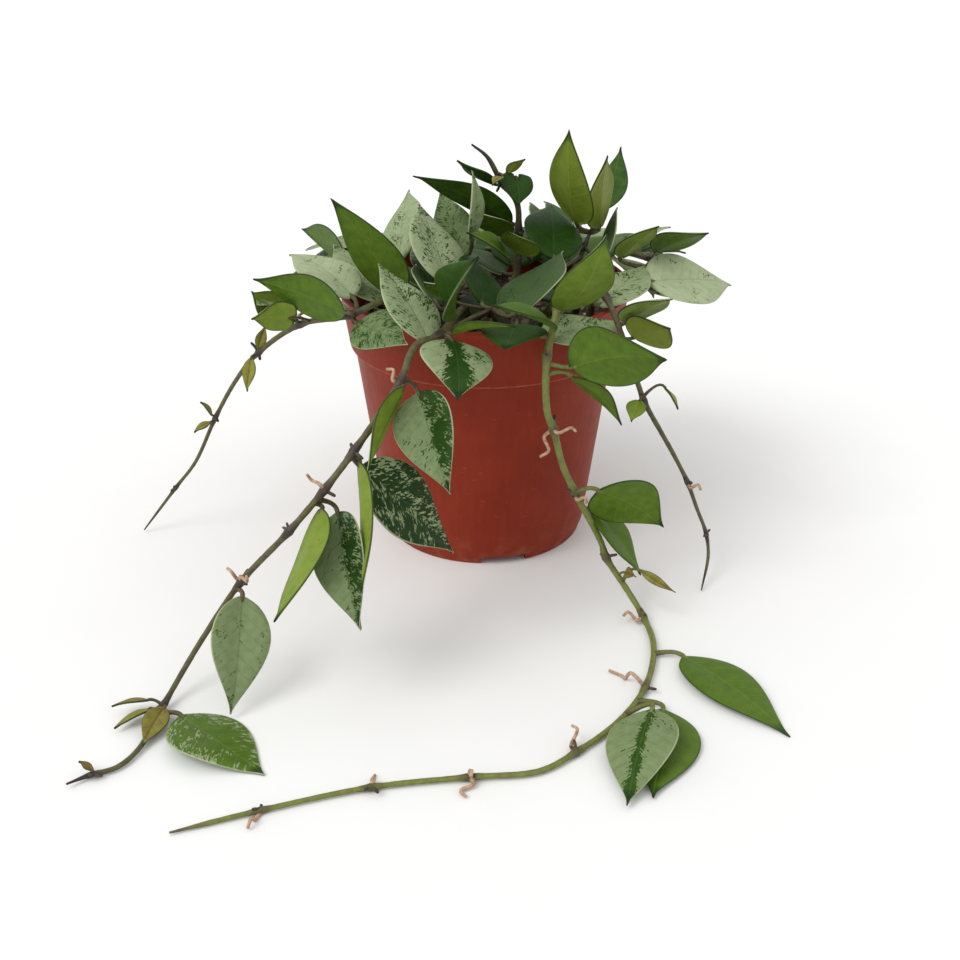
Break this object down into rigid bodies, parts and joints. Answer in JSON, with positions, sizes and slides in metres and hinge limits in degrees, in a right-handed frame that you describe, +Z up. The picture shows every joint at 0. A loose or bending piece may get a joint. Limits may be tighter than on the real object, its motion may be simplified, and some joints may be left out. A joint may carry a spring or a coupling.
{
  "type": "potted hoya plant",
  "caption": "Trailing hoya with silver-flecked waxy leaves on long vines, growing in a round tapered nursery pot that stands on its foot ring.",
  "frame": {"origin": "middle of the pot's base, on the surface that it stands on", "axes": "+Z up along the pot's axis, -Y towards the front where the two long vines trail, +X to the right seen from the front"},
  "size_m": [0.2543, 0.3134, 0.1753],
  "materials": {
    "pot": "satin moulded terracotta-red plastic",
    "soil": "loose bark and peat potting mix",
    "stem": "olive to brown semi-woody vine with darker joints",
    "leaf_silver": "waxy silver-green with dark green flecks",
    "leaf_green": "waxy olive green with a darker margin",
    "leaf_dark": "waxy dark green marbled with silver"
  },
  "bodies": {
    "root": {"pot": "pot", "soil": "soil", "vine_far_left": "stem", "vine_left": "stem", "vine_right": "stem", "vine_far_right": "stem", "shoot_upright": "stem", "shoot_left": "stem", "shoot_front": "stem", "shoot_back_right": "stem", "shoot_right": "stem", "leafy_shoot_back_left": "leaf_green", "leafy_shoot_back": "leaf_green", "leafy_shoot_back_right": "leaf_green", "leaf_olive_tall": "leaf_green", "leaf_silver_back_left": "leaf_silver", "leaf_silver_pale": "leaf_silver", "leaf_olive_low": "leaf_green", "leaf_over_rim_left": "leaf_green", "leaf_heart_left": "leaf_green", "leaf_silver_front": "leaf_silver", "leaf_banded_front": "leaf_dark", "leaf_folded_front": "leaf_dark", "leaf_left_edge": "leaf_green", "leaf_left_folded": "leaf_dark", "leaf_left_marbled": "leaf_dark", "leaf_left_narrow": "leaf_green", "leaf_left_hanging": "leaf_green", "leaf_left_two_tone": "leaf_dark", "leaf_left_silver": "leaf_silver", "leaf_left_ground": "leaf_dark", "leaf_olive_round": "leaf_green", "leaf_silver_low_right": "leaf_silver", "leaf_folded_right": "leaf_green", "leaf_green_right": "leaf_green", "leaf_green_right_low": "leaf_green", "leaf_right_heart": "leaf_green", "leaf_right_behind": "leaf_green", "leaf_right_ground": "leaf_green", "leaf_ground_silver": "leaf_silver", "leaf_ground_green": "leaf_green", "leaf_green_rim_right": "leaf_green", "leaf_yellow_round": "leaf_green", "leaf_silver_right": "leaf_silver", "leaf_dark_long": "leaf_dark", "leaf_dark_curled": "leaf_dark", "leaf_dark_heart": "leaf_dark", "leaf_silver_upright": "leaf_silver", "leaf_silver_speckled": "leaf_silver", "leaf_silver_middle": "leaf_green", "leaf_silver_narrow": "leaf_silver", "leaf_olive_behind": "leaf_green", "leaf_dark_silver": "leaf_dark", "leaf_dark_front": "leaf_dark", "leaf_green_tallest": "leaf_green", "leaf_green_second": "leaf_green", "leaf_dark_crown": "leaf_dark", "leaf_silver_far_right": "leaf_silver", "leaf_green_edge_right": "leaf_green", "leaf_green_far_right": "leaf_green"}
  },
  "joints": []
}
